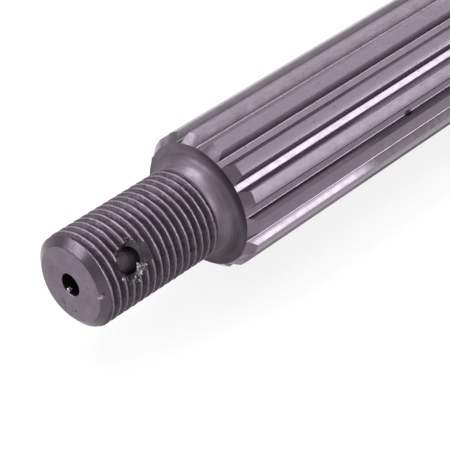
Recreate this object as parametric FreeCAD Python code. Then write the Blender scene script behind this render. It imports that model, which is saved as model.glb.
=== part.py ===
import FreeCAD, Part
import math
import os

# Propeller shaft of an outboard engine, turned from one bar of stainless steel.
# Millimetres and degrees. The shaft lies along +X with its propeller end at low X,
# on the surface z = 0. Places along the shaft are counted from the propeller end's face.
# Angles round the shaft are counted from straight up, turning towards -Y.

# Fine thread for the propeller nut
thread_d = 16.0
thread_pitch = 1.5
thread_length = 24.4
end_chamfer_depth = 1.6
end_chamfer_length = 1.2

# Centre hole left by the turning
centre_hole_d = 3.9
centre_hole_depth = 3.4
drill_tip_angle = 118.0

# Cross hole for the split pin that locks the nut
cross_hole_d = 4.2
cross_hole_place = 7.15
cross_hole_angle = 57.0
cross_sink_d = 6.3
cross_sink_angle = 90.0

# Neck that flares from the thread up to the floor of the spline's gaps
neck_d = 15.2
neck_land = 0.1

# Involute splines that turn the propeller
spline_length = 64.0
spline_teeth = 15
spline_module = 1.5
spline_pressure_angle = 30.0
spline_major_d = 24.3
spline_root_d = 21.7
spline_root_fillet_r = 0.3
spline_tooth_width = 3.14
spline_end_chamfer = 1.6
spline_angle = 13.8

# Straight-sided splines that the clutch dog slides on
clutch_length = 46.0
clutch_teeth = 16
clutch_major_d = 25.6
clutch_root_d = 22.6
clutch_tooth_width = 2.5
clutch_end_chamfer = 1.5

# Cutter of both splines, and its clearance over the teeth
hob_r = 32.0
hob_clearance = 0.5

# Taper that the thrust washer of the propeller seats on
thrust_seat_gap = 2.0
thrust_seat_angle = 30.0

# Journals for the oil seals and for the bearing, with a grinding groove between them
journal_d = 30.0
seal_journal_length = 34.0
bearing_journal_length = 40.0
journal_groove_width = 3.0
journal_groove_depth = 0.5
journal_chamfer = 1.0

# Neck that the reverse gear turns on, and journal that runs in the forward gear
gear_neck_step = 0.2
gear_neck_length = 34.0
pilot_journal_d = 19.0
pilot_journal_length = 26.0
pilot_chamfer = 1.5
shoulder_corner = 1.2

# Bore of the shift plunger and slot of its cross pin
plunger_bore_d = 9.0
plunger_bore_past_slot = 4.0
pin_slot_width = 8.0
pin_slot_length = 24.0

# Worked out from the sizes above
thread_r = thread_d / 2
neck_r = neck_d / 2
spline_root_r = spline_root_d / 2
spline_major_r = spline_major_d / 2
journal_r = journal_d / 2
clutch_major_r = clutch_major_d / 2
clutch_root_r = clutch_root_d / 2
gear_neck_r = clutch_major_r + gear_neck_step
pilot_r = pilot_journal_d / 2


def runout(depth):
    """Length in which the hob leaves a groove of this depth."""
    return math.sqrt(hob_r ** 2 - (hob_r - depth) ** 2)


neck_start = thread_length + thread_r - neck_r
flare_start = neck_start + neck_land
spline_start = flare_start + spline_root_r - neck_r
spline_end = spline_start + spline_length
thrust_seat_start = spline_end + runout(spline_major_r - spline_root_r) + thrust_seat_gap
thrust_seat_rise = journal_r - spline_major_r
seal_journal_start = thrust_seat_start + thrust_seat_rise / math.tan(math.radians(thrust_seat_angle))
journal_groove_start = seal_journal_start + seal_journal_length
bearing_journal_start = journal_groove_start + journal_groove_width
gear_neck_start = bearing_journal_start + bearing_journal_length
clutch_start = gear_neck_start + gear_neck_length
clutch_end = clutch_start + clutch_length
shaft_length = clutch_end + pilot_journal_length
pin_slot_centre = clutch_end - clutch_length / 2

up = FreeCAD.Vector(0, 0, 1)
along = FreeCAD.Vector(1, 0, 0)
origin = FreeCAD.Vector(0, 0, 0)


def at(x, r):
    """Point of the turned outline."""
    return FreeCAD.Vector(x, 0, r)


def line(start, end):
    return Part.LineSegment(start, end).toShape()


def flare(start, end):
    """Hollow curve that leaves start along the shaft and reaches end square to it."""
    curve = Part.BezierCurve()
    curve.setPoles([start, at(end.x, start.z), end])
    return curve.toShape()


def turned(edges):
    return Part.Face(Part.Wire(edges)).revolve(origin, along, 360)


def propeller_end_outline():
    """Chamfered end, thread and flared neck, up to the foot of the spline's teeth."""
    corners = [
        at(0, 0),
        at(0, thread_r - end_chamfer_depth),
        at(end_chamfer_length, thread_r),
        at(thread_length, thread_r),
        at(neck_start, neck_r),
        at(flare_start, neck_r),
    ]
    edges = [line(a, b) for a, b in zip(corners, corners[1:])]
    neck_end = at(spline_start, spline_root_r)
    edges.append(flare(corners[-1], neck_end))
    return edges, neck_end


def drive_outline(start):
    """Spline, thrust seat and journals, up to the shoulder of the gear neck."""
    groove_r = journal_r - journal_groove_depth
    corners = [
        start,
        at(spline_start + spline_end_chamfer, spline_major_r),
        at(thrust_seat_start, spline_major_r),
        at(seal_journal_start, journal_r),
        at(journal_groove_start, journal_r),
        at(journal_groove_start + journal_groove_depth, groove_r),
        at(bearing_journal_start - journal_groove_depth, groove_r),
        at(bearing_journal_start, journal_r),
        at(gear_neck_start - journal_chamfer, journal_r),
        at(gear_neck_start, journal_r - journal_chamfer),
        at(gear_neck_start, gear_neck_r + shoulder_corner),
    ]
    return [line(a, b) for a, b in zip(corners, corners[1:])], corners[-1]


def clutch_end_outline(start):
    """Gear neck, clutch splines and pilot journal, closed along the axis."""
    corners = [
        start,
        at(gear_neck_start + shoulder_corner, gear_neck_r),
        at(clutch_start - gear_neck_step, gear_neck_r),
        at(clutch_start, clutch_major_r),
        at(clutch_end - clutch_end_chamfer, clutch_major_r),
        at(clutch_end, clutch_major_r - clutch_end_chamfer),
        at(clutch_end, pilot_r + shoulder_corner),
        at(clutch_end + shoulder_corner, pilot_r),
        at(shaft_length - pilot_chamfer, pilot_r),
        at(shaft_length, pilot_r - pilot_chamfer),
        at(shaft_length, 0),
        at(0, 0),
    ]
    return [line(a, b) for a, b in zip(corners, corners[1:])]


def turned_blank():
    end_edges, neck_end = propeller_end_outline()
    drive_edges, shoulder = drive_outline(neck_end)
    return turned(end_edges + drive_edges + clutch_end_outline(shoulder))


def angle_between(side_a, side_b, far_side):
    """Angle of a triangle between two of its sides, in radians."""
    return math.acos((side_a ** 2 + side_b ** 2 - far_side ** 2) / (2 * side_a * side_b))


def section_point(radius, angle):
    """Point of the cross-section at x = 0. Angles are in radians from straight up."""
    return FreeCAD.Vector(0, radius * math.sin(angle), radius * math.cos(angle))


def gap_face(right_half):
    """Cross-section of one gap, pointing up. Its right half is a chain from the floor to the top."""
    edges = []
    for places in right_half:
        mirrored = [FreeCAD.Vector(p.x, -p.y, p.z) for p in reversed(places)]
        for chain in (places, mirrored):
            edges.append(line(*chain) if len(chain) == 2 else Part.Arc(*chain).toShape())
    floor_end = right_half[0][0]
    top_end = right_half[-1][-1]
    floor_middle = FreeCAD.Vector(0, 0, floor_end.Length)
    floor_start = FreeCAD.Vector(0, -floor_end.y, floor_end.z)
    edges.append(Part.Arc(floor_start, floor_middle, floor_end).toShape())
    edges.append(line(top_end, FreeCAD.Vector(0, -top_end.y, top_end.z)))
    return Part.Face(Part.Wire(Part.sortEdges(edges)[0]))


def involute_gap():
    """Gap between two involute teeth, with rounded root corners.

    Each flank is the arc about the point where its normal touches the base circle.
    """
    pressure = math.radians(spline_pressure_angle)
    pitch_r = spline_teeth * spline_module / 2
    base_r = pitch_r * math.cos(pressure)
    flank_r = pitch_r * math.sin(pressure)
    flank_centre_angle = math.pi / spline_teeth - spline_tooth_width / (2 * pitch_r) + pressure
    fillet_ring_r = spline_root_r + spline_root_fillet_r
    clear_r = spline_major_r + hob_clearance

    def on_flank(radius):
        return section_point(radius, flank_centre_angle - angle_between(base_r, radius, flank_r))

    fillet_reach = flank_r + spline_root_fillet_r
    fillet_angle = flank_centre_angle - angle_between(base_r, fillet_ring_r, fillet_reach)
    fillet_centre = section_point(fillet_ring_r, fillet_angle)
    to_flank = (section_point(base_r, flank_centre_angle) - fillet_centre).normalize()
    to_floor = section_point(-1, fillet_angle)
    fillet_places = [
        fillet_centre + to_floor * spline_root_fillet_r,
        fillet_centre + (to_floor + to_flank).normalize() * spline_root_fillet_r,
        fillet_centre + to_flank * spline_root_fillet_r,
    ]
    flank_places = [fillet_places[-1], on_flank((spline_root_r + clear_r) / 2), on_flank(clear_r)]
    return gap_face([fillet_places, flank_places])


def straight_gap():
    """Gap between two straight-sided teeth."""
    def on_flank(radius):
        half_tooth = math.asin(clutch_tooth_width / 2 / radius)
        return section_point(radius, math.pi / clutch_teeth - half_tooth)

    return gap_face([[on_flank(clutch_root_r), on_flank(clutch_major_r + hob_clearance)]])


def spline_cutters(gap, teeth, first_tooth_angle, root_r, depth, x_start, x_end):
    """Gaps of a hobbed spline: straight from x_start to x_end, then a run-out of the hob's radius."""
    straight = gap.translated(along * x_start).extrude(along * (x_end - x_start))
    hob_axis_place = FreeCAD.Vector(x_end, 0, root_r + hob_r)
    sweep = math.degrees(math.asin(runout(depth + hob_clearance) / hob_r))
    run_out = gap.translated(along * x_end).revolve(hob_axis_place, FreeCAD.Vector(0, -1, 0), sweep)
    cutter = straight.fuse(run_out)
    step = 360.0 / teeth
    return [cutter.rotated(origin, along, first_tooth_angle + (i + 0.5) * step) for i in range(teeth)]


def propeller_spline_gaps():
    return spline_cutters(involute_gap(), spline_teeth, spline_angle, spline_root_r,
                          spline_major_r - spline_root_r, spline_start - 1, spline_end)


def clutch_spline_gaps():
    """Cut from the pilot's side, with the run-out ending at the gear neck."""
    depth = clutch_major_r - clutch_root_r
    straight_length = clutch_length - runout(depth)
    gaps = spline_cutters(straight_gap(), clutch_teeth, 0, clutch_root_r, depth, -1, straight_length)
    return [gap.rotated(origin, up, 180).translated(along * clutch_end) for gap in gaps]


def drilled(start, direction, diameter, depth):
    """Blind hole with the cone of a drill's tip."""
    radius = diameter / 2
    tip = radius / math.tan(math.radians(drill_tip_angle / 2))
    hole = Part.makeCylinder(radius, depth, start, direction)
    cone = Part.makeCone(radius, 0, tip, start + direction * depth, direction)
    return hole.fuse(cone)


def cross_hole():
    """Split-pin hole right through the thread, countersunk on both sides."""
    angle = math.radians(cross_hole_angle)
    direction = FreeCAD.Vector(0, -math.sin(angle), math.cos(angle))
    centre = along * cross_hole_place
    hole_r = cross_hole_d / 2
    sink_r = cross_sink_d / 2
    slope = math.tan(math.radians(cross_sink_angle / 2))
    sink_depth = (sink_r - hole_r) / slope
    clear = thread_pitch
    reach = thread_r + clear
    hole = Part.makeCylinder(hole_r, 2 * reach, centre - direction * reach, direction)
    for side in (1, -1):
        mouth = centre + direction * (side * reach)
        mouth_r = sink_r + clear * slope
        sink = Part.makeCone(mouth_r, hole_r, sink_depth + clear, mouth, direction * -side)
        hole = hole.fuse(sink)
    return hole


def pin_slot():
    """Slot through the clutch splines for the pin between shift plunger and clutch dog."""
    half_run = (pin_slot_length - pin_slot_width) / 2
    r = pin_slot_width / 2
    y = clutch_major_r + hob_clearance
    ends = [FreeCAD.Vector(pin_slot_centre + side * half_run, -y, 0) for side in (-1, 1)]
    crosswise = FreeCAD.Vector(0, 1, 0)
    block = Part.makeBox(2 * half_run, 2 * y, pin_slot_width, ends[0] - up * r)
    return block.fuse([Part.makeCylinder(r, 2 * y, end, crosswise) for end in ends])


def propeller_shaft():
    plunger_depth = shaft_length - pin_slot_centre + pin_slot_length / 2 + plunger_bore_past_slot
    holes = [
        drilled(origin, along, centre_hole_d, centre_hole_depth),
        cross_hole(),
        drilled(along * shaft_length, along * -1, plunger_bore_d, plunger_depth),
        pin_slot(),
    ]
    splined = turned_blank().cut(propeller_spline_gaps()).cut(clutch_spline_gaps())
    return splined.cut(holes)


shaft = propeller_shaft()
shaft.translate(FreeCAD.Vector(-shaft_length / 2, 0, journal_r))

os.makedirs("parts", exist_ok=True)
shape = shaft.Solids[0] if len(shaft.Solids) == 1 else shaft
shape.exportStep("parts/propeller_shaft.step")
print("solids", len(shaft.Solids), "volume", round(shaft.Volume), "length", round(shaft_length, 2))
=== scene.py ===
import math
import random

import bpy
import bmesh
from mathutils import Matrix, Vector, noise


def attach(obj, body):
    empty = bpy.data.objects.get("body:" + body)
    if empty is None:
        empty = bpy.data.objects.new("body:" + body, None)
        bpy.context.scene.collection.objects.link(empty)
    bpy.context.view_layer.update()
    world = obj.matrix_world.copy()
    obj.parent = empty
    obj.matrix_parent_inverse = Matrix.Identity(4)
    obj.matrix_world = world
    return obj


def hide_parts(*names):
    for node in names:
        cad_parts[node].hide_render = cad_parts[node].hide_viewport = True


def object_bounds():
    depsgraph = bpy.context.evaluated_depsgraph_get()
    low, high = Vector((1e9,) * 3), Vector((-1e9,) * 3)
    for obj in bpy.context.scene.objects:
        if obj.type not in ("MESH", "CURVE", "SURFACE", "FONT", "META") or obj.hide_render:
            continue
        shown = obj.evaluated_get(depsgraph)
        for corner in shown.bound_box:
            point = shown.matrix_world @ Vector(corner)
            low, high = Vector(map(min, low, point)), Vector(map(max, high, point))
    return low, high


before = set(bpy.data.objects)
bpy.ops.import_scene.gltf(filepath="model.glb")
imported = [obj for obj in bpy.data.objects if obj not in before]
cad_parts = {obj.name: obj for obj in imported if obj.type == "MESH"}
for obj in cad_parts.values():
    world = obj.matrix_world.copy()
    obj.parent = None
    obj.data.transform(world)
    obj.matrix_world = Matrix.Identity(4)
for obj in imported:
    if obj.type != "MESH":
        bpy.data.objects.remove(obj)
cad_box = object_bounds()

MM = 0.001
random.seed(7)

# Sizes of the shaft in millimetres. Places along it are counted from the threaded end's face,
# angles round it in degrees from straight up, turning towards -Y.
LENGTH = (cad_box[1].x - cad_box[0].x) / MM
AXIS_Z = 15.0

# Threaded end
THREAD_R = 8.0
THREAD_ROOT_R = 7.08
PITCH = 1.5
CREST_AT = 1.08
THREAD_START = 1.35
THREAD_END = 24.4
RUN_IN = 0.45
FACE_R = 6.4
CHAMFER_END = 1.2
CENTRE_R = 1.95
CENTRE_DEPTH = 3.4
HOLE_AT = 7.15
HOLE_ANGLE = 57.0
HOLE_R = 2.1
SINK_R = 3.5
DRILL_POINT = math.tan(math.radians(59.0))

# Neck and splines of the propeller
NECK_R = 7.6
FLARE_START = 24.9
ROOT_R = 10.85
MAJOR_R = 12.15
SPLINE_START = 28.15
SPLINE_END = 92.15
CHAMFER_LENGTH = 1.6
TEETH = 15
TOOTH_ANGLE = 13.8
MODULE = 1.5
PRESSURE_ANGLE = 30.0
TOOTH_WIDTH = 3.14
ROOT_FILLET_R = 0.2
TIP_BREAK = 0.03
HOB_R = 32.0
HOB_CLEARANCE = 0.4
GAP_ANGLE = TOOTH_ANGLE + 180.0 / TEETH


def hob_runout(depth):
    """Length over which a gap of this depth runs out in the hob's radius."""
    return math.sqrt(HOB_R ** 2 - (HOB_R - depth) ** 2)


def hob_rise(distance):
    """How far the hob has left the floor of the gap, this far into the run-out."""
    return HOB_R - math.sqrt(HOB_R ** 2 - distance ** 2)


# Seats, journals, clutch splines and pilot
RUNOUT = hob_runout(MAJOR_R - ROOT_R)
SEAT_LAND = 2.0
SEAT_TAPER = 30.0
JOURNAL_R = 15.0
SEAL_LENGTH = 34.0
GROOVE_LENGTH = 3.0
GROOVE_DEPTH = 0.5
BEARING_LENGTH = 40.0
GEAR_NECK_R = 13.0
GEAR_NECK_LENGTH = 34.0
SHOULDER_CORNER = 1.2
CLUTCH_LENGTH = 46.0
CLUTCH_R = 12.8
CLUTCH_ROOT_R = 11.3
CLUTCH_TEETH = 16
CLUTCH_TOOTH_WIDTH = 2.5
CLUTCH_CHAMFER = 1.5
PILOT_R = 9.5
PILOT_LENGTH = 26.0
PLUNGER_R = 4.5
PLUNGER_MOUTH = 0.4
SLOT_LENGTH = 24.0
SLOT_WIDTH = 8.0
SEAT_START = SPLINE_END + RUNOUT + SEAT_LAND
SEAL_START = SEAT_START + (JOURNAL_R - MAJOR_R) / math.tan(math.radians(SEAT_TAPER))
GROOVE_START = SEAL_START + SEAL_LENGTH
BEARING_START = GROOVE_START + GROOVE_LENGTH
GEAR_START = BEARING_START + BEARING_LENGTH
CLUTCH_START = GEAR_START + GEAR_NECK_LENGTH
CLUTCH_END = CLUTCH_START + CLUTCH_LENGTH
SLOT_CENTRE = CLUTCH_END - 23.0
BORE_END = SLOT_CENTRE - 16.0

# Flaws and wear that the photo shows
SINK_LEAN = 0.25
SMEAR_AT = 6.2
SMEAR_REACH = 2.6
SMEAR_SPREAD = 20.0
SMEAR_ABOVE = 28.0
SMEAR_BELOW = 40.0
CREST_SPREAD = 0.20
CREST_LOSS = 0.07
WEAR_DEPTH = 0.08
NICK_R = 6.5
NICK_ANGLE = 77.4
NICK_REACH = 0.6
NICK_DEPTH = 1.3
STAIN_AT = 68.8
STAIN_R = 10.95
STAIN_ANGLE = 76.9
STAIN_LENGTH = 1.8
STAIN_WIDTH = 1.0
STAIN_DARKNESS = 0.88
# Place and size of one drive flank that is darker along its whole length
DARK_FLANK_ANGLE = 79.5
DARK_FLANK_LENGTH = 90.0
DARK_FLANK_WIDTH = 2.8
CONTACT_END = 57.0

# How finely the surface is divided
FLOOR_STEPS = 3
LAND_STEPS = 11
FILLET_STEPS = 4
CURVE_STEPS = 8
STRAIGHT_STEPS = 6
FLARE_STEPS = 18
RUNOUT_STEPS = 12
ROUND_STEPS = 144
HOLE_STEPS = 96
FLANK_FRACTIONS = (0.0, 0.045, 0.09, 0.135, 0.18, 0.38, 0.59, 0.80, 1.0)
PLAIN_FRACTIONS = (0.0, 0.5, 1.0)

# Zones of the surface, each with a finish of its own
FACE, CHAMFER, THREAD, NECK, SPLINE, DRIVE, FLANK, GROUND, BORE, SINK, BURR = range(11)


def place(s, r, angle):
    """Point of the shaft in the row frame, in metres."""
    a = math.radians(angle)
    return Vector(((s - LENGTH / 2) * MM, -r * math.sin(a) * MM, (AXIS_Z + r * math.cos(a)) * MM))


class Shell:
    """Vertices and faces of the surface, put together ring by ring."""

    def __init__(self):
        self.points = []
        self.places = []
        self.faces = []
        self.zones = []

    def point(self, s, r, angle):
        self.points.append(place(s, r, angle))
        self.places.append((s, r))
        return len(self.points) - 1

    def face(self, corners, zone):
        unique = [c for i, c in enumerate(corners) if c != corners[i - 1]]
        if len(unique) > 2:
            self.faces.append(unique)
            self.zones.append(zone)

    def threaded(self, corners):
        """Face of the thread, which keeps the end face's finish where it lies on the chamfer."""
        s = sum(self.places[c][0] for c in corners) / len(corners)
        r = sum(self.places[c][1] for c in corners) / len(corners)
        on_chamfer = s < CHAMFER_END and r > blank_radius(s) - 0.02
        self.face(corners, CHAMFER if on_chamfer else THREAD)

    def ring(self, s, r, angles):
        return [self.point(s, r, a) for a in angles]

    def join(self, low, high, zone, closed=True):
        """Faces between two rings. zone is one zone or one for each column. Returns the high ring."""
        count = len(low)
        zones = zone if isinstance(zone, list) else [zone] * count
        for i in range(count if closed else count - 1):
            j = (i + 1) % count
            self.face([low[i], high[i], high[j], low[j]], zones[i])
        return high

    def fan(self, tip, ring, zone):
        for i in range(len(ring)):
            self.face([tip, ring[i], ring[(i + 1) % len(ring)]], zone)

    def zip(self, low, low_angles, high, high_angles, zone):
        """Triangles between two rings with different numbers of points. Returns the high ring."""
        i = j = 0
        n, m = len(low), len(high)
        start = low_angles[0]
        a = [x - start for x in low_angles] + [360.0]
        b = [x - start for x in high_angles] + [high_angles[0] - start + 360.0]
        while i < n or j < m:
            if j >= m or (i < n and a[i + 1] <= b[j + 1]):
                self.face([low[i], high[j % m], low[(i + 1) % n]], zone)
                i += 1
            else:
                self.face([low[i % n], high[j], high[(j + 1) % m]], zone)
                j += 1
        return high


shell = Shell()


def triangle_angle(a, b, opposite):
    """Angle between sides a and b of a triangle, in radians."""
    return math.acos((a * a + b * b - opposite * opposite) / (2 * a * b))


def involute_half_gap():
    """Right half of a gap as (y, z) points from the floor's end over the root fillet and flank."""
    pressure = math.radians(PRESSURE_ANGLE)
    pitch_r = TEETH * MODULE / 2
    base_r = pitch_r * math.cos(pressure)
    flank_r = pitch_r * math.sin(pressure)
    centre_angle = math.pi / TEETH - TOOTH_WIDTH / (2 * pitch_r) + pressure
    ring_r = ROOT_R + ROOT_FILLET_R
    fillet_angle = centre_angle - triangle_angle(base_r, ring_r, flank_r + ROOT_FILLET_R)
    fillet_centre = Vector((ring_r * math.sin(fillet_angle), ring_r * math.cos(fillet_angle)))
    flank_centre = Vector((base_r * math.sin(centre_angle), base_r * math.cos(centre_angle)))
    to_flank = (flank_centre - fillet_centre).normalized()
    to_floor = -fillet_centre.normalized()
    points = []
    for k in range(CURVE_STEPS + 1):
        t = k / CURVE_STEPS
        toward = (to_floor * (1 - t) + to_flank * t).normalized()
        points.append(fillet_centre + toward * ROOT_FILLET_R)
    start_r = points[-1].length
    for k in range(1, CURVE_STEPS + 1):
        r = start_r + (MAJOR_R + HOB_CLEARANCE - start_r) * k / CURVE_STEPS
        a = centre_angle - triangle_angle(base_r, r, flank_r)
        points.append(Vector((r * math.sin(a), r * math.cos(a))))
    return points


def straight_half_gap():
    """Right half of a gap between straight-sided teeth, as (y, z) points."""
    points = []
    for k in range(STRAIGHT_STEPS + 1):
        r = CLUTCH_ROOT_R + (CLUTCH_R + HOB_CLEARANCE - CLUTCH_ROOT_R) * k / STRAIGHT_STEPS
        a = math.pi / CLUTCH_TEETH - math.asin(CLUTCH_TOOTH_WIDTH / 2 / r)
        points.append(Vector((r * math.sin(a), r * math.cos(a))))
    return points


def trimmed(points, top):
    """The points nearer to the axis than this, and one where the line between them reaches it."""
    kept = [points[0]]
    for a, b in zip(points, points[1:]):
        if b.length < top:
            kept.append(b)
            continue
        if a.length < top:
            kept.append(a.lerp(b, (top - a.length) / (b.length - a.length)))
        break
    return kept


def spaced(chain, fractions):
    """Points at these fractions of a chain's length."""
    lengths = [0.0]
    for a, b in zip(chain, chain[1:]):
        lengths.append(lengths[-1] + (b - a).length)
    if lengths[-1] == 0.0:
        return [chain[0]] * len(fractions)
    result = []
    for fraction in fractions:
        reach = fraction * lengths[-1]
        i = 0
        while i < len(lengths) - 2 and lengths[i + 1] < reach:
            i += 1
        t = (reach - lengths[i]) / (lengths[i + 1] - lengths[i])
        result.append(chain[i].lerp(chain[i + 1], t))
    return result


def cut_profile(half_gap, rise, major_r, fractions):
    """(radius, half angle) of the points of a flank when the cutter stands this much higher."""
    lifted = [Vector((p.x, p.y + rise)) for p in half_gap]
    flank = spaced(trimmed(lifted, major_r - TIP_BREAK), fractions)
    profile = [(min(p.length, major_r), math.degrees(math.atan2(p.x, p.y))) for p in flank]
    depth = max(major_r - half_gap[0].length - rise, 0.0)
    edge = profile[-1][1] + math.degrees(min(TIP_BREAK, depth) / major_r)
    profile.append((major_r, edge))
    return profile


def spread(start, width, steps):
    return [start + width * i / steps for i in range(steps + 1)]


class Spline:
    """A band of teeth with chamfered ends, cut by a hob that leaves a run-out.

    foot is the place of the end face, toward is 1 or -1 along the shaft, cone the chamfer's length.
    """

    def __init__(self, teeth, first_gap, half_gap, fractions, root_r, major_r, foot, toward, cone):
        self.teeth = teeth
        self.first_gap = first_gap
        self.half_gap = half_gap
        self.fractions = fractions
        self.root_r = root_r
        self.major_r = major_r
        self.foot = foot
        self.toward = toward
        self.cone = cone
        self.step = 360.0 / teeth
        self.full = cut_profile(half_gap, 0.0, major_r, fractions)
        self.floor_half = self.full[0][1]

    def foot_angles(self):
        """Columns at the feet of the teeth: the floor of each gap, then the tooth after it."""
        angles = []
        for j in range(self.teeth):
            middle = self.first_gap + j * self.step
            w = self.floor_half
            angles += spread(middle - w, 2 * w, FLOOR_STEPS)[:-1]
            angles += spread(middle + w, self.step - 2 * w, LAND_STEPS)[:-1]
        return angles

    def front(self, foot_ring, zone):
        """End faces of the teeth. Returns the ring where the straight teeth begin."""
        per = FLOOR_STEPS + LAND_STEPS
        total = len(foot_ring)
        ring = []
        for j in range(self.teeth):
            base = j * per
            floor = [foot_ring[base + i] for i in range(FLOOR_STEPS + 1)]
            row = [foot_ring[(base + FLOOR_STEPS + i) % total] for i in range(LAND_STEPS + 1)]
            up, down = [], []
            for r, w in self.full[1:]:
                s = self.foot + self.toward * (r - self.root_r) / (self.major_r - self.root_r) * self.cone
                left = self.first_gap + j * self.step + w
                upper = shell.ring(s, r, spread(left, self.step - 2 * w, LAND_STEPS))
                row = shell.join(row, upper, zone, closed=False)
                up.append(row[0])
                down.append(row[-1])
            ring += floor + up + row[1:-1] + list(reversed(down))
        return ring

    def section(self, rise):
        """(radius, angle) of each column of a ring when the hob stands this much higher."""
        profile = cut_profile(self.half_gap, rise, self.major_r, self.fractions)
        floor_r = min(self.root_r + rise, self.major_r)
        floor_w = profile[0][1]
        top_w = profile[-1][1]
        columns = []
        for j in range(self.teeth):
            middle = self.first_gap + j * self.step
            floor = spread(middle - floor_w, 2 * floor_w, FLOOR_STEPS)
            land = spread(middle + top_w, self.step - 2 * top_w, LAND_STEPS)
            columns += [(floor_r, a) for a in floor]
            columns += [(r, middle + w) for r, w in profile[1:]]
            columns += [(self.major_r, a) for a in land[1:-1]]
            columns += [(r, middle + self.step - w) for r, w in reversed(profile[1:])]
        return columns

    def ring(self, s, rise):
        return [shell.point(s, r, a) for r, a in self.section(rise)]

    def angles(self, rise):
        return [a for r, a in self.section(rise)]

    def zones(self):
        """Zone of each column of a ring: floor, fillet, driving flank, land, idle flank, fillet."""
        side = len(self.full) - 1 - FILLET_STEPS
        floor = [SPLINE] * FLOOR_STEPS
        fillet = [SPLINE] * FILLET_STEPS
        land = [SPLINE] * LAND_STEPS
        return (floor + fillet + [DRIVE] * side + land + [FLANK] * side + fillet) * self.teeth


propeller_spline = Spline(TEETH, GAP_ANGLE - 360.0 / TEETH, involute_half_gap(), FLANK_FRACTIONS,
                          ROOT_R, MAJOR_R, SPLINE_START, 1, CHAMFER_LENGTH)
columns = propeller_spline.foot_angles()


def blank_radius(s):
    """Radius of the turned blank under the thread."""
    if s <= CHAMFER_END:
        return FACE_R + (THREAD_R - FACE_R) * s / CHAMFER_END
    if s <= THREAD_END:
        return THREAD_R
    if s <= THREAD_END + THREAD_R - NECK_R:
        return THREAD_R - (s - THREAD_END)
    return NECK_R


# Profile of the thread: distance from the middle of the crest, radius
PROFILE = (
    (0.0, THREAD_R), (0.09, THREAD_R), (0.13, THREAD_R - 0.035),
    (0.62, THREAD_ROOT_R + 0.07), (0.69, THREAD_ROOT_R + 0.015), (0.75, THREAD_ROOT_R),
)
# Grid lines that follow the helix, as distances from the middle of the crest
OFFSETS = (-0.13, -0.09, 0.09, 0.13, 0.38, 0.62, 0.69, 0.75, 0.81, 0.88, 1.12)


def profile_radius(u):
    u = abs(u)
    for (u0, r0), (u1, r1) in zip(PROFILE, PROFILE[1:]):
        if u <= u1:
            return r0 + (r1 - r0) * (u - u0) / (u1 - u0)
    return THREAD_ROOT_R


def flattening(s, angle):
    """How much the drill has smeared the crests, from 0 to 1: most of all uphill of the hole."""
    past = (angle - HOLE_ANGLE + 180.0) % 360.0 - 180.0
    along = math.exp(-((s - SMEAR_AT) / SMEAR_REACH) ** 4)
    if past > 0:
        return along * max(0.0, 1 - past / SMEAR_BELOW) * 0.35
    return along * math.exp(-((past + SMEAR_ABOVE) / SMEAR_SPREAD) ** 4)


def wear(s, angle, size):
    """Smooth random value between -1 and 1, with features of this size in millimetres."""
    a = math.radians(angle)
    return noise.noise(Vector((s, THREAD_R * math.cos(a), THREAD_R * math.sin(a))) / size)


def thread_radius(s, angle):
    """Radius of the worn thread, which runs in on the chamfer and out before the neck."""
    smeared = flattening(s, angle)
    u = (s - CREST_AT - PITCH * angle / 360.0 + PITCH / 2) % PITCH - PITCH / 2
    wide = CREST_SPREAD * smeared
    u = max(0.0, abs(u) - wide) * (PITCH / 2) / (PITCH / 2 - wide)
    r = min(profile_radius(u), THREAD_R - CREST_LOSS * smeared)
    r -= WEAR_DEPTH * max(0.0, wear(s + 40.0, angle, 0.8) - 0.15)
    if s > THREAD_END - 0.1:
        r += (s - THREAD_END + 0.1) * 1.2
    if s < THREAD_START:
        shallow = min(1.0, (THREAD_START - s) / RUN_IN)
        r += (THREAD_R - r) * shallow
    return min(blank_radius(s), r)


def waver(s, angle):
    """How far a worn grid line strays along the shaft."""
    return 0.09 * wear(s, angle, 1.1) + 0.035 * wear(s, angle, 0.45)


def strand(angle, s_low, s_high):
    """Points of the thread in one column, keyed by turn and place on the profile."""
    base = CREST_AT + PITCH * angle / 360.0
    first = math.floor((s_low - base) / PITCH) - 2
    last = math.ceil((s_high - base) / PITCH) + 2
    points = {}
    for turn in range(first, last + 1):
        for i, offset in enumerate(OFFSETS):
            s = base + turn * PITCH + offset
            if s_low + 0.02 < s < s_high - 0.02:
                room = min(s - s_low, s_high - s, 0.2) / 0.2
                shifted = s + room * waver(s - offset, angle)
                points[turn * len(OFFSETS) + i] = shell.point(shifted, thread_radius(s, angle), angle)
    return points


def stitch(a, b, mine, other):
    """Faces between two strands, upwards from points a and b. Returns the last two points."""
    for key in sorted(set(mine) | set(other)):
        if key in mine and key in other:
            shell.threaded([a, mine[key], other[key], b])
            a, b = mine[key], other[key]
        elif key in mine:
            shell.threaded([a, mine[key], b])
            a = mine[key]
        else:
            shell.threaded([a, other[key], b])
            b = other[key]
    return a, b


def thread_band(lower, s_low, s_high):
    """Surface between two circles whose grid lines follow the helix."""
    upper = [shell.point(s_high, thread_radius(s_high, a), a) for a in columns]
    strands = [strand(a, s_low, s_high) for a in columns]
    strands.append({key - len(OFFSETS): value for key, value in strands[0].items()})
    for j in range(len(columns)):
        following = (j + 1) % len(columns)
        a, b = stitch(lower[j], lower[following], strands[j], strands[j + 1])
        shell.threaded([a, upper[j], upper[following], b])
    return upper


def circles(ring, angles, outline, zone):
    """Turned surface through a list of (s, r)."""
    for s, r in outline:
        ring = shell.join(ring, shell.ring(s, r, angles), zone)
    return ring


def end_chamfer(s, r, size, soft):
    """Outline of a chamfer with slightly broken edges that ends at this place."""
    return [(s - size, r), (s - size + 0.15, r - soft), (s - soft, r - size + 0.15), (s, r - size)]


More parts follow.
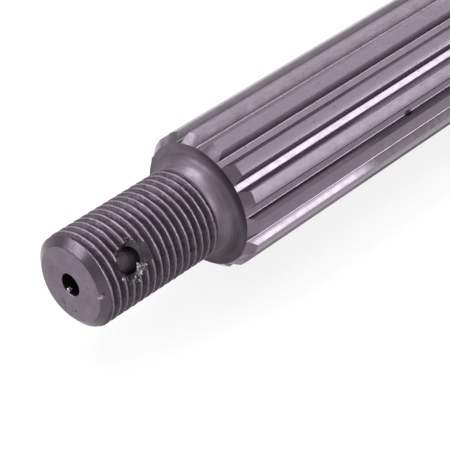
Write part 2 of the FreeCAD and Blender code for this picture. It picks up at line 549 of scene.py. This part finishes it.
def hollow_corner(s, r):
    """Outline of the turned corner at the foot of a shoulder."""
    return [(s + 0.25, r + 0.55), (s + 0.6, r + 0.2), (s + SHOULDER_CORNER, r)]


# Centre hole and end face
tip = shell.point(CENTRE_DEPTH + CENTRE_R / DRILL_POINT, 0.0, 0.0)
ring = shell.ring(CENTRE_DEPTH, CENTRE_R, columns)
shell.fan(tip, ring, SINK)
ring = circles(ring, columns, [(2.2, CENTRE_R), (1.0, CENTRE_R), (0.08, CENTRE_R)], SINK)
ring = circles(ring, columns, [
    (0.0, CENTRE_R + 0.08), (0.0, 3.2), (0.0, 4.6), (0.0, 5.6), (0.0, 6.25),
    (0.02, 6.36), (0.06, FACE_R + 0.08),
], FACE)

# Thread with its chamfer
start = 0.06
relief_end = THREAD_END + THREAD_R - NECK_R
on_chamfer = (0.2, 0.35, 0.5, 0.65, 0.8, 0.95, 1.08)
for stop in (*on_chamfer, CHAMFER_END, THREAD_END, relief_end, FLARE_START):
    ring = thread_band(ring, start, stop)
    start = stop

# Neck that flares up to the feet of the teeth
outline = []
for i in range(1, FLARE_STEPS + 1):
    t = i / FLARE_STEPS
    s = FLARE_START + (SPLINE_START - FLARE_START) * (1 - (1 - t) ** 2)
    outline.append((s, NECK_R + (ROOT_R - NECK_R) * t * t))
ring = circles(ring, columns, outline, NECK)

# Splines of the propeller
ring = propeller_spline.front(ring, SPLINE)
for s in (30.6, 36.0, 44.0, 52.0, 60.0, 68.0, 76.0, 84.0, SPLINE_END):
    ring = shell.join(ring, propeller_spline.ring(s, 0.0), propeller_spline.zones())
for i in range(1, RUNOUT_STEPS + 1):
    s = SPLINE_END + RUNOUT * i / RUNOUT_STEPS
    following = propeller_spline.ring(s, hob_rise(s - SPLINE_END))
    ring = shell.join(ring, following, propeller_spline.zones())
spline_last_angles = propeller_spline.angles(MAJOR_R - ROOT_R)

# Thrust seat, journals and gear neck
even = spread(spline_last_angles[0], 360.0, ROUND_STEPS)[:-1]
following = shell.ring(SEAT_START - 0.15, MAJOR_R, even)
ring = shell.zip(ring, spline_last_angles, following, even, GROUND)
groove_r = JOURNAL_R - GROOVE_DEPTH
ring = circles(ring, even, [
    (SEAT_START, MAJOR_R + 0.02), (SEAT_START + 0.15, MAJOR_R + 0.1),
    (SEAL_START - 0.2, JOURNAL_R - 0.13), (SEAL_START, JOURNAL_R - 0.03),
    (SEAL_START + 0.2, JOURNAL_R), (SEAL_START + SEAL_LENGTH / 2, JOURNAL_R),
    (GROOVE_START - 0.1, JOURNAL_R), (GROOVE_START, JOURNAL_R - 0.05),
    (GROOVE_START + 0.45, groove_r + 0.05), (GROOVE_START + 0.6, groove_r),
    (BEARING_START - 0.6, groove_r), (BEARING_START - 0.45, groove_r + 0.05),
    (BEARING_START, JOURNAL_R - 0.05), (BEARING_START + 0.1, JOURNAL_R),
    (BEARING_START + BEARING_LENGTH / 2, JOURNAL_R),
    *end_chamfer(GEAR_START, JOURNAL_R, 1.1, 0.06),
    (GEAR_START, GEAR_NECK_R + SHOULDER_CORNER), *hollow_corner(GEAR_START, GEAR_NECK_R),
    (GEAR_START + GEAR_NECK_LENGTH / 2, GEAR_NECK_R),
    (CLUTCH_START - 0.3, GEAR_NECK_R), (CLUTCH_START - 0.15, GEAR_NECK_R - 0.04),
], GROUND)

# Clutch splines, from the run-out at the neck to the pilot's shoulder
clutch_spline = Spline(CLUTCH_TEETH, 180.0 / CLUTCH_TEETH, straight_half_gap(), PLAIN_FRACTIONS,
                       CLUTCH_ROOT_R, CLUTCH_R, CLUTCH_END, -1, CLUTCH_CHAMFER)
clutch_depth = CLUTCH_R - CLUTCH_ROOT_R
clutch_runout = hob_runout(clutch_depth)
clutch_ring = clutch_spline.ring(CLUTCH_START, clutch_depth)
clutch_angles = clutch_spline.angles(clutch_depth)
first = clutch_angles.index(min(clutch_angles, key=lambda a: abs(a - even[0])))
turned = clutch_angles[first:] + [a + 360.0 for a in clutch_angles[:first]]
shell.zip(ring, even, clutch_ring[first:] + clutch_ring[:first], turned, GROUND)
ring = clutch_ring
for i in range(RUNOUT_STEPS - 1, -1, -1):
    s = CLUTCH_START + clutch_runout * (RUNOUT_STEPS - i) / RUNOUT_STEPS
    rise = hob_rise(clutch_runout * i / RUNOUT_STEPS)
    ring = shell.join(ring, clutch_spline.ring(s, rise), SPLINE)
for s in (SLOT_CENTRE, CLUTCH_END - 8.0, CLUTCH_END - 2.4):
    ring = shell.join(ring, clutch_spline.ring(s, 0.0), SPLINE)
clutch_columns = clutch_spline.foot_angles()
foot = shell.ring(CLUTCH_END, CLUTCH_ROOT_R, clutch_columns)
shell.join(ring, clutch_spline.front(foot, SPLINE), SPLINE)

# Pilot journal and the plunger's bore
even = spread(clutch_columns[0], 360.0, ROUND_STEPS)[:-1]
following = shell.ring(CLUTCH_END, PILOT_R + 1.25, even)
ring = shell.zip(foot, clutch_columns, following, even, GROUND)
ring = circles(ring, even, [
    *hollow_corner(CLUTCH_END, PILOT_R),
    (CLUTCH_END + PILOT_LENGTH / 2, PILOT_R),
    *end_chamfer(LENGTH, PILOT_R, 1.6, 0.07),
    (LENGTH, PLUNGER_R + PLUNGER_MOUTH), (LENGTH - PLUNGER_MOUTH, PLUNGER_R),
    (LENGTH - 18.0, PLUNGER_R), (SLOT_CENTRE, PLUNGER_R), (BORE_END, PLUNGER_R),
], GROUND)
shell.fan(shell.point(BORE_END - PLUNGER_R / DRILL_POINT, 0.0, 0.0), ring, GROUND)


def mesh_object(name, points, faces, zones=None):
    mesh = bpy.data.meshes.new(name)
    mesh.from_pydata([tuple(p) for p in points], [], faces)
    if zones:
        mesh.polygons.foreach_set("material_index", zones)
    made = bpy.data.objects.new(name, mesh)
    bpy.context.scene.collection.objects.link(made)
    return made


def cleaned(target):
    """Merges doubled points and turns all faces outwards."""
    bm = bmesh.new()
    bm.from_mesh(target.data)
    bmesh.ops.remove_doubles(bm, verts=bm.verts, dist=0.012 * MM)
    bmesh.ops.recalc_face_normals(bm, faces=bm.faces)
    bm.to_mesh(target.data)
    bm.free()
    return target


shaft = cleaned(mesh_object("shaft", shell.points, shell.faces, shell.zones))


def drill(outline, origin, direction):
    """Closed tool round a direction: outline is a list of (height, radius, shift along the shaft)."""
    turn = direction.to_track_quat("Z", "Y").to_matrix()
    steps = HOLE_STEPS
    points, faces, zones = [], [], []
    for height, radius, shift in outline:
        for i in range(steps):
            a = 2 * math.pi * i / steps
            local = Vector((radius * math.cos(a), radius * math.sin(a), height)) * MM
            points.append(origin + turn @ local + Vector((shift * MM, 0, 0)))
    for k in range(len(outline) - 1):
        straight = outline[k][1] == outline[k + 1][1]
        for i in range(steps):
            j = (i + 1) % steps
            faces.append((k * steps + i, k * steps + j, (k + 1) * steps + j, (k + 1) * steps + i))
            zones.append(BORE if straight else SINK)
    faces.append(tuple(reversed(range(steps))))
    faces.append(tuple(range((len(outline) - 1) * steps, len(outline) * steps)))
    return cleaned(mesh_object("drill", points, faces, zones + [SINK, SINK]))


def cut(target, tool):
    modifier = target.modifiers.new("cut", "BOOLEAN")
    modifier.operation = "DIFFERENCE"
    modifier.solver = "EXACT"
    modifier.object = tool
    modifier.material_mode = "INDEX"
    bpy.context.view_layer.objects.active = target
    bpy.ops.object.modifier_apply(modifier=modifier.name)
    bpy.data.objects.remove(tool)


hole_axis = (place(0.0, 1.0, HOLE_ANGLE) - place(0.0, 0.0, 0.0)).normalized()
hole_centre = place(HOLE_AT, 0.0, 0.0)
drill_reach = 10.0
sink_start = THREAD_R - (SINK_R - HOLE_R)
sink_top = HOLE_R + drill_reach - sink_start
lean = SINK_LEAN * (drill_reach - sink_start) / (THREAD_R - sink_start)
cut(shaft, drill([
    (-drill_reach, sink_top, lean),
    (-sink_start - 0.05, HOLE_R + 0.05, 0.0), (-sink_start + 0.05, HOLE_R, 0.0),
    (-1.0, HOLE_R, 0.0), (3.0, HOLE_R, 0.0),
    (sink_start - 0.05, HOLE_R, 0.0), (sink_start + 0.05, HOLE_R + 0.05, 0.0),
    (drill_reach, sink_top, lean),
], hole_centre, hole_axis))


def outward(angle):
    return place(0.0, 1.0, angle) / MM - place(0.0, 0.0, angle) / MM


nick_run = (Vector((0.9, 0, 0)) + outward(NICK_ANGLE) * 0.35).normalized()


def square_to_nick(direction):
    return (direction - nick_run * direction.dot(nick_run)).normalized()


def wedge(points, faces, root, root_line, side_a, side_b):
    """Adds a prism with a sharp root: root_line is half its length, the sides are its two walls."""
    n = len(points)
    for end in (-1, 1):
        base = root + root_line * end
        points += [base, base + side_a, base + side_b]
    faces += [(n, n + 1, n + 2), (n + 5, n + 4, n + 3), (n, n + 3, n + 4, n + 1),
              (n + 1, n + 4, n + 5, n + 2), (n + 2, n + 5, n + 3, n)]


def scratch(points, faces, start, end, width, depth):
    """Adds the tool for a straight scratch on the end face, between two (radius, angle) places."""
    a, b = place(0.0, *start), place(0.0, *end)
    run = (b - a) / 2
    across = run.cross(Vector((1, 0, 0))).normalized() * width * MM
    out = Vector((-1.5 * depth * MM, 0, 0))
    wedge(points, faces, (a + b) / 2 + Vector((depth * MM, 0, 0)), run, out + across, out - across)


def damage_tool():
    """Scratches on the end face and the nick in its edge."""
    points, faces = [], []
    scratch(points, faces, (4.0, -153.0), (5.4, -165.0), 0.15, 0.13)
    scratch(points, faces, (4.6, -148.0), (5.0, -157.0), 0.09, 0.08)
    scratch(points, faces, (4.1, 67.0), (4.4, 71.0), 0.12, 0.10)
    scratch(points, faces, (4.6, 166.0), (4.8, 171.0), 0.14, 0.12)
    scratch(points, faces, (3.2, -176.0), (5.2, 176.0), 0.06, 0.05)
    zones = [CHAMFER] * len(faces)
    ledge = square_to_nick(Vector((0.0, -0.97, -0.25)))
    wall = square_to_nick(Vector((0.0, -0.62, 0.78)))
    root = place(0.3, NICK_R - 0.1, NICK_ANGLE)
    wedge(points, faces, root, nick_run * NICK_REACH * MM, ledge * NICK_DEPTH * MM, wall * NICK_DEPTH * MM)
    zones += [BURR, FACE, BURR, BURR, BURR]
    return cleaned(mesh_object("damage", points, faces, zones))


cut(shaft, damage_tool())


def flake(points, faces, origin, direction, lift, length, width, curl):
    """Adds a tapered, curled sliver of steel."""
    side = direction.cross(lift).normalized()
    steps = 4
    n = len(points)
    for k in range(steps):
        t = k / steps
        middle = origin + direction * (length * t * MM) + lift * (curl * t * t * MM)
        half = side * (width * (1 - t) ** 0.6 / 2 * MM)
        points += [middle - half, middle + half, middle + lift * (width * 0.4 * (1 - t) * MM)]
    points.append(origin + direction * (length * MM) + lift * (curl * MM))
    tip = len(points) - 1
    faces.append((n, n + 1, n + 2))
    for k in range(steps - 1):
        a, b = n + 3 * k, n + 3 * (k + 1)
        for i in range(3):
            j = (i + 1) % 3
            faces.append((a + i, b + i, b + j, a + j))
    a = n + 3 * (steps - 1)
    faces += [(a, tip, a + 1), (a + 1, tip, a + 2), (a + 2, tip, a)]


def around_hole(turn, away):
    """Place at the rim of the cross hole, with its angle round the shaft."""
    across = away * math.sin(math.radians(turn))
    angle = HOLE_ANGLE + math.degrees(math.asin(across / THREAD_R))
    r = THREAD_R - 0.08 - max(0.0, SINK_R - away)
    return place(HOLE_AT + away * math.cos(math.radians(turn)), r, angle), angle


def rim_burrs(points, faces, zones):
    """Torn crests round the cross hole and the heap of chips below it."""
    # Count, angles round the rim, distances from the hole's axis, greatest length, share of bright ones
    groups = (
        (18, -140.0, -45.0, 3.1, 3.6, 0.6, 0.0),
        (28, 42.0, 77.0, 2.15, 2.95, 0.7, 0.8),
        (26, 84.0, 158.0, 2.8, 3.5, 0.7, 0.25),
    )
    for count, low, high, near, far, longest, bright in groups:
        for i in range(count):
            zone = BURR if random.random() < bright else SINK
            origin, angle = around_hole(random.uniform(low, high), random.uniform(near, far))
            lift = outward(angle)
            level = Vector((1, 0, 0)).cross(lift)
            heading = math.radians(random.uniform(0, 360))
            direction = Vector((1, 0, 0)) * math.cos(heading) + level * math.sin(heading)
            length = random.uniform(0.5, 1.0) * longest
            width = random.uniform(0.4, 0.8) * longest
            curl = random.uniform(0.1, 0.6) * longest
            flake(points, faces, origin, direction.normalized(), lift, length, width, curl)
            zones += [zone] * (len(faces) - len(zones))


def centre_chip(points, faces):
    """A chip of six flakes stuck in the mouth of the centre hole."""
    for i in range(6):
        depth = random.uniform(0.3, 0.9)
        inset = random.uniform(0.1, 0.6)
        origin = place(depth, CENTRE_R - inset, random.uniform(-166.0, -142.0))
        facing = Vector((-0.8, random.uniform(-0.4, 0.4), random.uniform(0.3, 0.9))).normalized()
        across = Vector((random.uniform(-1, 1), 1.0, random.uniform(-1, 1)))
        flake(points, faces, origin, facing.cross(across).normalized(), facing, 0.5, 0.5, 0.2)


def nick_slivers(points, faces):
    """Three slivers that the nick has pushed up at its lower edge."""
    facing = Vector((-0.75, 0.0, 0.65)).normalized()
    for i in range(3):
        origin = place(-0.1 + 0.12 * i, NICK_R - 0.1 + 0.1 * i, NICK_ANGLE + 3.2)
        flake(points, faces, origin, nick_run, facing, 1.6 - 0.1 * i, 0.65, 0.1)


def burrs():
    """All loose slivers of steel, as one mesh."""
    points, faces, zones = [], [], []
    rim_burrs(points, faces, zones)
    centre_chip(points, faces)
    nick_slivers(points, faces)
    zones += [BURR] * (len(faces) - len(zones))
    return cleaned(mesh_object("burrs", points, faces, zones))


def slot_tool():
    """Slot with round ends, along the shaft, right through it."""
    points, faces = [], []
    steps = 24
    end_r = SLOT_WIDTH / 2
    straight = (SLOT_LENGTH - SLOT_WIDTH) / 2
    outline = []
    for side in (1, -1):
        for i in range(steps + 1):
            a = -math.pi / 2 + math.pi * i / steps
            outline.append((side * (straight + end_r * math.cos(a)), side * end_r * math.sin(a)))
    for y in (-14.0, 14.0):
        for dx, dz in outline:
            x = SLOT_CENTRE + dx - LENGTH / 2
            points.append(Vector((x * MM, y * MM, (AXIS_Z + dz) * MM)))
    n = len(outline)
    for i in range(n):
        j = (i + 1) % n
        faces.append((i, j, n + j, n + i))
    faces.append(tuple(reversed(range(n))))
    faces.append(tuple(range(n, 2 * n)))
    return cleaned(mesh_object("slot", points, faces, [FLANK] * len(faces)))


cut(shaft, slot_tool())


def join_to(target, addition):
    bm = bmesh.new()
    bm.from_mesh(target.data)
    bm.from_mesh(addition.data)
    bm.to_mesh(target.data)
    bm.free()
    bpy.data.objects.remove(addition)


join_to(shaft, burrs())

# Finishes


class Finish:
    """Worn steel, built up from procedural layers on one Principled shader."""

    def __init__(self, name, base, roughness):
        self.material = bpy.data.materials.new(name)
        self.material.use_nodes = True
        self.nodes = self.material.node_tree.nodes
        self.links = self.material.node_tree.links
        self.shader = self.nodes["Principled BSDF"]
        self.shader.inputs["Metallic"].default_value = 1.0
        self.place = self.nodes.new("ShaderNodeTexCoord").outputs["Object"]
        self.tint = self.nodes.new("ShaderNodeRGB").outputs[0]
        self.tint.default_value = base + (1.0,)
        self.rough = self.nodes.new("ShaderNodeValue").outputs[0]
        self.rough.default_value = roughness
        self.normal = None

    def noise(self, scale, detail=2.0, stretch=(1, 1, 1)):
        mapping = self.nodes.new("ShaderNodeMapping")
        mapping.inputs["Scale"].default_value = stretch
        self.links.new(self.place, mapping.inputs["Vector"])
        texture = self.nodes.new("ShaderNodeTexNoise")
        texture.inputs["Scale"].default_value = scale
        texture.inputs["Detail"].default_value = detail
        self.links.new(mapping.outputs["Vector"], texture.inputs["Vector"])
        return texture.outputs["Fac"]

    def ramp(self, source, low, high, first, last):
        made = self.nodes.new("ShaderNodeMapRange")
        for socket, value in (("From Min", low), ("From Max", high), ("To Min", first), ("To Max", last)):
            made.inputs[socket].default_value = value
        self.links.new(source, made.inputs["Value"])
        return made.outputs["Result"]

    def shade(self, factor):
        """Multiplies the colour by a factor."""
        scaled = self.nodes.new("ShaderNodeVectorMath")
        scaled.operation = "SCALE"
        self.links.new(self.tint, scaled.inputs[0])
        self.links.new(factor, scaled.inputs["Scale"])
        self.tint = scaled.outputs["Vector"]

    def dull(self, amount):
        """Adds to the roughness."""
        added = self.nodes.new("ShaderNodeMath")
        self.links.new(self.rough, added.inputs[0])
        self.links.new(amount, added.inputs[1])
        self.rough = added.outputs[0]

    def mottle(self, size, contrast, stretch=(1, 1, 1)):
        """Faint patches of this size in millimetres."""
        patches = self.noise(1000.0 / size, 4.0, stretch)
        self.shade(self.ramp(patches, 0.3, 0.7, 1 - contrast, 1 + contrast))
        self.dull(self.ramp(patches, 0.3, 0.7, 0.03, -0.03))

    def specks(self, size, share, darkness):
        """Small dark spots with soft edges."""
        patches = self.noise(1000.0 / size, 3.0)
        self.shade(self.ramp(patches, share, share + 0.05, 1.0, 1 - darkness))

    def marks(self, period, strength, stretch):
        """Fine relief: turning or hobbing marks, or grain where the stretch is even."""
        bump = self.nodes.new("ShaderNodeBump")
        bump.inputs["Strength"].default_value = strength
        bump.inputs["Distance"].default_value = 0.02 * MM
        self.links.new(self.noise(1000.0 / period, 2.0, stretch), bump.inputs["Height"])
        if self.normal:
            self.links.new(self.normal, bump.inputs["Normal"])
        self.normal = bump.outputs["Normal"]

    def radius(self):
        """Distance from the shaft's axis."""
        across = self.nodes.new("ShaderNodeVectorMath")
        across.operation = "MULTIPLY_ADD"
        across.inputs[1].default_value = (0.0, 1.0, 1.0)
        across.inputs[2].default_value = (0.0, 0.0, -AXIS_Z * MM)
        self.links.new(self.place, across.inputs[0])
        length = self.nodes.new("ShaderNodeVectorMath")
        length.operation = "LENGTH"
        self.links.new(across.outputs["Vector"], length.inputs[0])
        return length.outputs["Value"]

    def coordinate(self, axis):
        split = self.nodes.new("ShaderNodeSeparateXYZ")
        self.links.new(self.place, split.inputs[0])
        return split.outputs[axis]

    def dark_patch(self, centre, length, width, darkness):
        """Dark patch with soft edges round a point, this long and this wide in millimetres."""
        away = self.nodes.new("ShaderNodeVectorMath")
        away.operation = "SUBTRACT"
        away.inputs[1].default_value = centre
        self.links.new(self.place, away.inputs[0])
        scaled = self.nodes.new("ShaderNodeVectorMath")
        scaled.operation = "MULTIPLY"
        scaled.inputs[1].default_value = (2 / (length * MM), 2 / (width * MM), 2 / (width * MM))
        self.links.new(away.outputs["Vector"], scaled.inputs[0])
        size = self.nodes.new("ShaderNodeVectorMath")
        size.operation = "LENGTH"
        self.links.new(scaled.outputs["Vector"], size.inputs[0])
        self.shade(self.ramp(size.outputs["Value"], 0.7, 1.3, 1 - darkness, 1.0))

    def stain(self):
        centre = place(STAIN_AT, STAIN_R, STAIN_ANGLE)
        self.dark_patch(centre, STAIN_LENGTH, STAIN_WIDTH, STAIN_DARKNESS)

    def done(self):
        """Connects the layers and returns the material."""
        self.links.new(self.tint, self.shader.inputs["Base Color"])
        self.links.new(self.rough, self.shader.inputs["Roughness"])
        if self.normal:
            self.links.new(self.normal, self.shader.inputs["Normal"])
        return self.material


STEEL = (0.178, 0.146, 0.181)
ALL_ROUND = (1, 1, 1)
ROUND_THE_SHAFT = (1, 0.02, 0.02)
ALONG_THE_SHAFT = (0.02, 1, 1)


def face_steel():
    finish = Finish("face_steel", STEEL, 0.38)
    finish.mottle(2.4, 0.10)
    finish.mottle(0.6, 0.04)
    finish.specks(0.5, 0.67, 0.3)
    finish.marks(0.5, 0.12, ALL_ROUND)
    return finish.done()


def chamfer_steel():
    finish = Finish("chamfer_steel", tuple(c * 0.56 for c in STEEL), 0.29)
    finish.mottle(1.6, 0.06)
    finish.marks(0.3, 0.06, ROUND_THE_SHAFT)
    return finish.done()


def thread_steel():
    """Dull flanks with a painted highlight on the crests, and painted shade towards the roots and towards
    the shaft's underside.
    """
    finish = Finish("thread_steel", STEEL, 0.52)
    radius = finish.radius()
    height = finish.coordinate("Z")
    # Painted highlight: the crests' colour is raised to stand in for the light they catch.
    finish.shade(finish.ramp(radius, (THREAD_R - 0.12) * MM, (THREAD_R - 0.04) * MM, 1.0, 2.3))
    # Painted shade: the colour is darkened down the flanks towards the roots.
    finish.shade(finish.ramp(radius, THREAD_ROOT_R * MM, (THREAD_R - 0.2) * MM, 0.95, 0.7))
    # Painted shade: the colour is darkened towards the shaft's underside.
    finish.shade(finish.ramp(height, (AXIS_Z - 3.0) * MM, (AXIS_Z + 4.5) * MM, 0.54, 0.92))
    finish.mottle(0.7, 0.1)
    finish.mottle(0.25, 0.2)
    finish.specks(0.45, 0.6, 0.3)
    finish.marks(0.4, 0.15, ALL_ROUND)
    return finish.done()


def neck_steel():
    """Turned with fine grooves, with a painted highlight near the thread and painted shade towards the
    teeth and underneath.
    """
    finish = Finish("neck_steel", STEEL, 0.42)
    radius = finish.radius()
    height = finish.coordinate("Z")
    # Painted highlight near the thread that turns into painted shade towards the teeth.
    finish.shade(finish.ramp(radius, (NECK_R + 0.3) * MM, (NECK_R + 1.0) * MM, 1.12, 0.76))
    # Painted shade: the colour is darkened towards the underside.
    finish.shade(finish.ramp(height, (AXIS_Z - 5.0) * MM, (AXIS_Z + 5.5) * MM, 0.5, 1.0))
    finish.mottle(1.8, 0.08)
    finish.mottle(0.2, 0.2, ROUND_THE_SHAFT)
    finish.marks(0.16, 0.1, ROUND_THE_SHAFT)
    return finish.done()


def spline_steel():
    """Lands, floors and end faces of the teeth, with small pits and the stain."""
    finish = Finish("spline_steel", STEEL, 0.22)
    finish.mottle(2.2, 0.05)
    finish.mottle(0.45, 0.05, (0.35, 1, 1))
    finish.specks(0.7, 0.66, 0.3)
    finish.marks(0.2, 0.16, ALONG_THE_SHAFT)
    finish.marks(0.35, 0.04, ALL_ROUND)
    finish.stain()
    return finish.done()


def drive_steel():
    """Flanks that the propeller's hub has polished, dull past its end, with the stain and one flank darker
    along its whole length.
    """
    finish = Finish("drive_steel", STEEL, 0.22)
    along = finish.coordinate("X")
    contact_end = (CONTACT_END - LENGTH / 2) * MM
    fade = (contact_end - 3 * MM, contact_end + 4 * MM)
    finish.dull(finish.ramp(along, *fade, 0.0, 0.35))
    finish.shade(finish.ramp(along, *fade, 1.0, 0.8))
    finish.stain()
    # Darkens one drive flank along its whole length.
    dark_flank_middle = place(SPLINE_START + 30.0, MAJOR_R - 0.4, DARK_FLANK_ANGLE)
    finish.dark_patch(dark_flank_middle, DARK_FLANK_LENGTH, DARK_FLANK_WIDTH, 0.5)
    finish.mottle(1.6, 0.08)
    finish.marks(0.2, 0.12, ALONG_THE_SHAFT)
    return finish.done()


def flank_steel():
    """Idle flanks, dull, with painted shade that darkens them towards their root."""
    finish = Finish("flank_steel", STEEL, 0.46)
    # Painted shade: darker towards the root of each gap.
    finish.shade(finish.ramp(finish.radius(), (ROOT_R + 0.1) * MM, (MAJOR_R - 0.1) * MM, 0.5, 0.85))
    finish.mottle(1.6, 0.08)
    finish.marks(0.2, 0.15, ALONG_THE_SHAFT)
    return finish.done()


def ground_steel():
    """Thrust seat, journals, gear neck, pilot and the plunger's bore."""
    finish = Finish("ground_steel", STEEL, 0.24)
    finish.mottle(3.0, 0.04)
    finish.marks(0.12, 0.1, ROUND_THE_SHAFT)
    return finish.done()


def bore_steel():
    """Drilled walls of the cross hole, with painted light deep inside and painted shade near the mouth."""
    finish = Finish("bore_steel", (0.28, 0.25, 0.275), 0.26)
    radius = finish.radius()
    # Painted light and shade: bright deep inside the hole, dark towards its mouth.
    finish.shade(finish.ramp(radius, (THREAD_R - 5.0) * MM, (THREAD_R - 2.2) * MM, 1.0, 0.16))
    finish.mottle(1.0, 0.15)
    finish.marks(0.3, 0.15, ALL_ROUND)
    return finish.done()


def sink_steel():
    """Dark countersink, centre hole and dull slivers."""
    finish = Finish("sink_steel", (0.078, 0.074, 0.078), 0.42)
    finish.mottle(0.6, 0.2)
    finish.marks(0.3, 0.3, ALL_ROUND)
    return finish.done()


def burr_steel():
    """Freshly torn metal."""
    finish = Finish("burr_steel", (0.52, 0.455, 0.515), 0.42)
    finish.mottle(0.5, 0.35)
    finish.marks(0.3, 0.2, ALL_ROUND)
    return finish.done()


finishes = {
    FACE: face_steel(), CHAMFER: chamfer_steel(), THREAD: thread_steel(), NECK: neck_steel(),
    SPLINE: spline_steel(), DRIVE: drive_steel(), FLANK: flank_steel(), GROUND: ground_steel(),
    BORE: bore_steel(), SINK: sink_steel(), BURR: burr_steel(),
}
for zone in sorted(finishes):
    shaft.data.materials.append(finishes[zone])

shaft.data.shade_smooth()
shaft.data.set_sharp_from_angle(angle=math.radians(19.0))

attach(shaft, "root")
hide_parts("propeller_shaft")

# Floor, world and light


def background_material(name, glow, grey):
    """Plain pale surface, white in the picture and in reflections, that still takes a soft shadow."""
    material = bpy.data.materials.new(name)
    material.use_nodes = True
    nodes, links = material.node_tree.nodes, material.node_tree.links
    nodes.clear()
    rays = nodes.new("ShaderNodeLightPath")
    seen = None
    for kind in ("Is Camera Ray", "Is Glossy Ray", "Is Transmission Ray"):
        if seen is None:
            seen = rays.outputs[kind]
            continue
        either = nodes.new("ShaderNodeMath")
        either.operation = "MAXIMUM"
        links.new(seen, either.inputs[0])
        links.new(rays.outputs[kind], either.inputs[1])
        seen = either.outputs[0]
    strength = nodes.new("ShaderNodeMath")
    strength.operation = "MULTIPLY"
    strength.inputs[1].default_value = glow
    links.new(seen, strength.inputs[0])
    emission = nodes.new("ShaderNodeEmission")
    links.new(strength.outputs[0], emission.inputs["Strength"])
    diffuse = nodes.new("ShaderNodeBsdfDiffuse")
    diffuse.inputs["Color"].default_value = (grey, grey, grey, 1)
    both = nodes.new("ShaderNodeAddShader")
    links.new(emission.outputs[0], both.inputs[0])
    links.new(diffuse.outputs[0], both.inputs[1])
    output = nodes.new("ShaderNodeOutputMaterial")
    links.new(both.outputs[0], output.inputs["Surface"])
    return material


bpy.ops.mesh.primitive_plane_add(size=20.0, location=(0, 0, 0))
floor = bpy.context.object
floor.name = "floor"
floor.data.materials.append(background_material("floor_white", 0.80, 0.2))

world = bpy.data.worlds.new("studio")
bpy.context.scene.world = world
world.use_nodes = True
sky = world.node_tree.nodes["Background"]
sky.inputs["Color"].default_value = (1, 1, 1, 1)
sky.inputs["Strength"].default_value = 0.65

LAMP_DISTANCE = 1.5
LIT_AT = 35.0


def softbox(name, azimuth, elevation, width, height, radiance, colour=(1, 1, 1)):
    """Softbox that faces the threaded half of the shaft. It is white unless a colour is given."""
    toward = Vector((
        math.cos(math.radians(elevation)) * math.cos(math.radians(azimuth)),
        math.cos(math.radians(elevation)) * math.sin(math.radians(azimuth)),
        math.sin(math.radians(elevation)),
    ))
    data = bpy.data.lights.new(name, "AREA")
    data.shape = "RECTANGLE"
    data.size = width
    data.size_y = height
    data.energy = math.pi * width * height * radiance
    data.color = colour
    made = bpy.data.objects.new(name, data)
    bpy.context.scene.collection.objects.link(made)
    made.location = place(LIT_AT, 0.0, 0.0) + toward * LAMP_DISTANCE
    made.rotation_mode = "QUATERNION"
    made.rotation_quaternion = (-toward).to_track_quat("-Z", "Y")


softbox("overhead", 105.0, 69.0, 0.8, 0.7, 3.0)
softbox("side", -12.0, 48.0, 2.2, 0.9, 1.02)
softbox("back", 48.0, 24.0, 1.1, 0.6, 1.1)
softbox("strip", -48.0, 24.5, 0.8, 0.46, 5.6, (0.92, 1.0, 0.91))
softbox("low_side", -56.0, 7.0, 0.8, 0.3, 2.3)
softbox("front_left", 150.0, 26.0, 0.85, 0.34, 6.8)
softbox("fill_left", 112.0, 31.0, 0.45, 0.35, 3.2)
softbox("fill_top", 164.0, 53.0, 0.4, 0.3, 1.6)
softbox("key", 60.0, 62.0, 0.65, 0.7, 4.5)
softbox("top", -18.0, 75.0, 0.6, 0.45, 3.6)

# Camera at the photo's viewing angle
camera_data = bpy.data.cameras.new("camera")
camera = bpy.data.objects.new("camera", camera_data)
bpy.context.scene.collection.objects.link(camera)
right = Vector((0.68034, -0.73289, 0.0)).normalized()
back = Vector((-0.58272, -0.54094, 0.60648)).normalized()
upward = back.cross(right)
turn = Matrix((right, upward, back)).transposed().to_4x4()
from_face = Vector((-144.71, -166.48, 178.79)) * MM
camera.matrix_world = Matrix.Translation(place(0.0, 0.0, 0.0) + from_face) @ turn
camera_data.sensor_width = 36.0
camera_data.lens = 148.67
camera_data.clip_start = 0.01
camera_data.clip_end = 20.0
bpy.context.scene.camera = camera

bpy.context.scene.view_settings.view_transform = "Standard"
